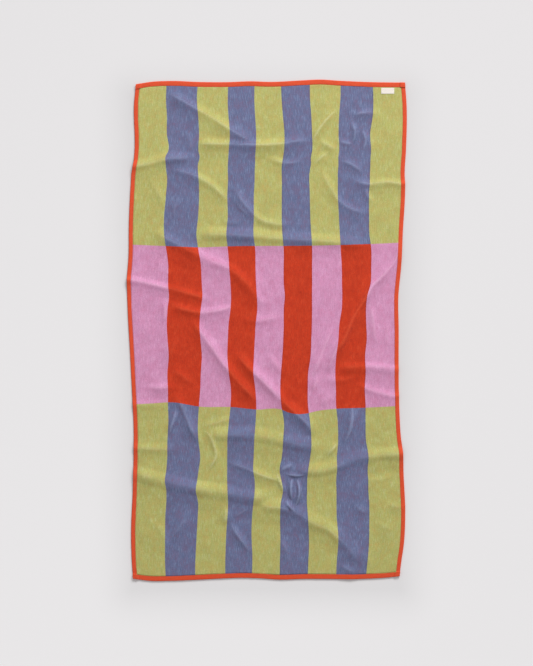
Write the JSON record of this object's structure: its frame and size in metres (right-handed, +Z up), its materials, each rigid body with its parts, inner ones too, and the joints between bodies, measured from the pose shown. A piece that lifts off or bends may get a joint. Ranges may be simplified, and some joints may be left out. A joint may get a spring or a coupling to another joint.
{
  "type": "bath towel",
  "caption": "Striped terry bath towel laid out flat, softly rippled, with bound edges and a bare woven label sewn on near one corner.",
  "frame": {"origin": "the middle of the laid towel's outline, on the surface that it lies on", "axes": "+Z up, +Y along the towel's length towards the end with the label, +X across it towards the side with the label"},
  "size_m": [0.7776, 1.393, 0.0133],
  "materials": {
    "terry": "matte looped cotton pile, in broad lengthwise stripes",
    "binding": "matte flat-woven cotton strip with stitching",
    "label": "smooth woven ribbon, bare"
  },
  "bodies": {
    "root": {"terry_cloth": "terry", "binding_left": "binding", "binding_right": "binding", "binding_bottom": "binding", "binding_top": "binding", "label": "label"}
  },
  "joints": []
}
